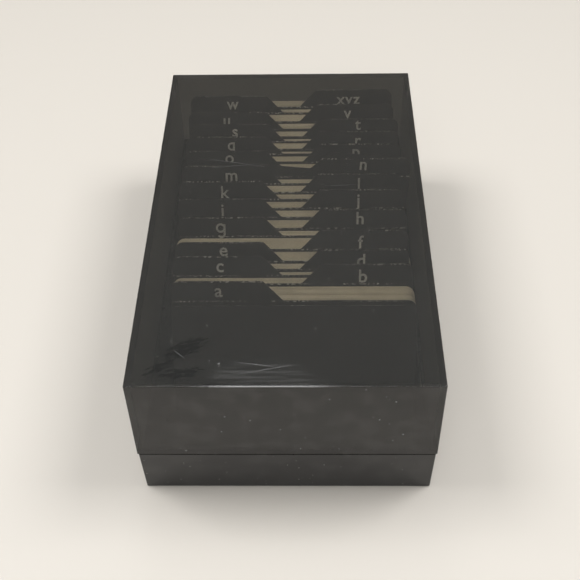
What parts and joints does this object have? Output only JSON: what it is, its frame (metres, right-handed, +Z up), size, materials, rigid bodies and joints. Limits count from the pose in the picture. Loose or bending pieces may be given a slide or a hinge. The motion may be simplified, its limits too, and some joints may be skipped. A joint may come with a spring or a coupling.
{
  "type": "card file box",
  "caption": "Desk file for index cards: black tray, smoked see-through lid hinged at the back, and alphabet guides with cards leaning on a sloped rest.",
  "frame": {"origin": "centre of the footprint, on the table under the closed box", "axes": "+X to the right seen from the front, +Y to the hinge side at the back, +Z up"},
  "size_m": [0.1504, 0.2473, 0.0875],
  "materials": {
    "black_plastic": "glossy black",
    "smoked_plastic": "clear smoked, glossy",
    "rack_plastic": "matte black",
    "guide_plastic": "satin black sheet",
    "card_stock": "uncoated cream card",
    "rest_paint": "black paint on sheet steel",
    "pin_steel": "drawn steel wire"
  },
  "bodies": {
    "tray": {"base_tray": "black_plastic", "rack_left": "rack_plastic", "rack_right": "rack_plastic", "hinge_pin_left": "pin_steel", "hinge_pin_right": "pin_steel", "back_rest": "rest_paint"},
    "lid": {"lid": "smoked_plastic"},
    "front_plate": {"front_plate": "guide_plastic"},
    "guide_a": {"guide_a": "guide_plastic"},
    "guide_b": {"cards_a": "card_stock", "guide_b": "guide_plastic"},
    "guide_c": {"cards_b": "card_stock", "guide_c": "guide_plastic"},
    "guide_d": {"cards_c": "card_stock", "guide_d": "guide_plastic"},
    "guide_e": {"cards_d": "card_stock", "guide_e": "guide_plastic"},
    "guide_f": {"cards_e": "card_stock", "guide_f": "guide_plastic"},
    "guide_g": {"cards_f": "card_stock", "guide_g": "guide_plastic"},
    "guide_h": {"cards_g": "card_stock", "guide_h": "guide_plastic"},
    "guide_i": {"cards_h": "card_stock", "guide_i": "guide_plastic"},
    "guide_j": {"cards_i": "card_stock", "guide_j": "guide_plastic"},
    "guide_k": {"cards_j": "card_stock", "guide_k": "guide_plastic"},
    "guide_l": {"cards_k": "card_stock", "guide_l": "guide_plastic"},
    "guide_m": {"cards_l": "card_stock", "guide_m": "guide_plastic"},
    "guide_n": {"cards_m": "card_stock", "guide_n": "guide_plastic"},
    "guide_o": {"cards_n": "card_stock", "guide_o": "guide_plastic"},
    "guide_p": {"cards_o": "card_stock", "guide_p": "guide_plastic"},
    "guide_q": {"cards_p": "card_stock", "guide_q": "guide_plastic"},
    "guide_r": {"cards_q": "card_stock", "guide_r": "guide_plastic"},
    "guide_s": {"cards_r": "card_stock", "guide_s": "guide_plastic"},
    "guide_t": {"cards_s": "card_stock", "guide_t": "guide_plastic"},
    "guide_u": {"cards_t": "card_stock", "guide_u": "guide_plastic"},
    "guide_v": {"cards_u": "card_stock", "guide_v": "guide_plastic"},
    "guide_w": {"cards_v": "card_stock", "guide_w": "guide_plastic"},
    "guide_xyz": {"cards_w": "card_stock", "guide_xyz": "guide_plastic"},
    "cards_xyz": {"cards_xyz": "card_stock"}
  },
  "joints": [
    {"name": "lid_hinge", "type": "hinge", "parent": "tray", "child": "lid", "pos_m": [0, 0.12128, 0.032], "axis": [-1, 0, 0], "range_deg": [0, 100]},
    {"name": "front_plate_tilt", "type": "hinge", "parent": "tray", "child": "front_plate", "pos_m": [0, -0.09712, 0.00382], "axis": [1, 0, 0], "range_deg": [0, 46.7]},
    {"name": "guide_a_tilt", "type": "hinge", "parent": "tray", "child": "guide_a", "pos_m": [0, -0.09577, 0.00372], "axis": [1, 0, 0], "range_deg": [0, 0.45]},
    {"name": "guide_b_tilt", "type": "hinge", "parent": "tray", "child": "guide_b", "pos_m": [0, -0.09407, 0.00415], "axis": [1, 0, 0], "range_deg": [0, 0.51]},
    {"name": "guide_c_tilt", "type": "hinge", "parent": "tray", "child": "guide_c", "pos_m": [0, -0.08225, 0.00415], "axis": [1, 0, 0], "range_deg": [0, 0.41]},
    {"name": "guide_d_tilt", "type": "hinge", "parent": "tray", "child": "guide_d", "pos_m": [0, -0.07609, 0.00415], "axis": [1, 0, 0], "range_deg": [0, 0.5]},
    {"name": "guide_e_tilt", "type": "hinge", "parent": "tray", "child": "guide_e", "pos_m": [0, -0.07203, 0.00415], "axis": [1, 0, 0], "range_deg": [0, 0.24]},
    {"name": "guide_f_tilt", "type": "hinge", "parent": "tray", "child": "guide_f", "pos_m": [0, -0.0658, 0.00415], "axis": [1, 0, 0], "range_deg": [0, 0.38]},
    {"name": "guide_g_tilt", "type": "hinge", "parent": "tray", "child": "guide_g", "pos_m": [0, -0.05669, 0.00415], "axis": [1, 0, 0], "range_deg": [0, 0.44]},
    {"name": "guide_h_tilt", "type": "hinge", "parent": "tray", "child": "guide_h", "pos_m": [0, -0.04625, 0.00415], "axis": [1, 0, 0], "range_deg": [0, 0.41]},
    {"name": "guide_i_tilt", "type": "hinge", "parent": "tray", "child": "guide_i", "pos_m": [0, -0.0403, 0.00415], "axis": [1, 0, 0], "range_deg": [0, 0.38]},
    {"name": "guide_j_tilt", "type": "hinge", "parent": "tray", "child": "guide_j", "pos_m": [0, -0.03141, 0.00415], "axis": [1, 0, 0], "range_deg": [0, 0.31]},
    {"name": "guide_k_tilt", "type": "hinge", "parent": "tray", "child": "guide_k", "pos_m": [0, -0.02336, 0.00415], "axis": [1, 0, 0], "range_deg": [0, 0.63]},
    {"name": "guide_l_tilt", "type": "hinge", "parent": "tray", "child": "guide_l", "pos_m": [0, -0.01625, 0.00415], "axis": [1, 0, 0], "range_deg": [0, 0.41]},
    {"name": "guide_m_tilt", "type": "hinge", "parent": "tray", "child": "guide_m", "pos_m": [0, -0.01041, 0.00415], "axis": [1, 0, 0], "range_deg": [0, 0.31]},
    {"name": "guide_n_tilt", "type": "hinge", "parent": "tray", "child": "guide_n", "pos_m": [0, -0.00248, 0.00415], "axis": [1, 0, 0], "range_deg": [0, 0.57]},
    {"name": "guide_o_tilt", "type": "hinge", "parent": "tray", "child": "guide_o", "pos_m": [0, 0.00364, 0.00415], "axis": [1, 0, 0], "range_deg": [0, 0.63]},
    {"name": "guide_p_tilt", "type": "hinge", "parent": "tray", "child": "guide_p", "pos_m": [0, 0.01103, 0.00415], "axis": [1, 0, 0], "range_deg": [0, 0.57]},
    {"name": "guide_q_tilt", "type": "hinge", "parent": "tray", "child": "guide_q", "pos_m": [0, 0.01659, 0.00415], "axis": [1, 0, 0], "range_deg": [0, 0.31]},
    {"name": "guide_r_tilt", "type": "hinge", "parent": "tray", "child": "guide_r", "pos_m": [0, 0.02413, 0.00415], "axis": [1, 0, 0], "range_deg": [0, 0.34]},
    {"name": "guide_s_tilt", "type": "hinge", "parent": "tray", "child": "guide_s", "pos_m": [0, 0.02886, 0.00415], "axis": [1, 0, 0], "range_deg": [0, 0.47]},
    {"name": "guide_t_tilt", "type": "hinge", "parent": "tray", "child": "guide_t", "pos_m": [0, 0.03641, 0.00415], "axis": [1, 0, 0], "range_deg": [0, 0.5]},
    {"name": "guide_u_tilt", "type": "hinge", "parent": "tray", "child": "guide_u", "pos_m": [0, 0.04059, 0.00415], "axis": [1, 0, 0], "range_deg": [0, 0.31]},
    {"name": "guide_v_tilt", "type": "hinge", "parent": "tray", "child": "guide_v", "pos_m": [0, 0.04864, 0.00415], "axis": [1, 0, 0], "range_deg": [0, 0.63]},
    {"name": "guide_w_tilt", "type": "hinge", "parent": "tray", "child": "guide_w", "pos_m": [0, 0.0557, 0.00415], "axis": [1, 0, 0], "range_deg": [0, 0.38]},
    {"name": "guide_xyz_tilt", "type": "hinge", "parent": "tray", "child": "guide_xyz", "pos_m": [0, 0.06475, 0.00415], "axis": [1, 0, 0], "range_deg": [0, 0.41]},
    {"name": "cards_xyz_tilt", "type": "hinge", "parent": "tray", "child": "cards_xyz", "pos_m": [0, 0.0713, 0.00415], "axis": [1, 0, 0], "range_deg": [0, 0.73]}
  ]
}
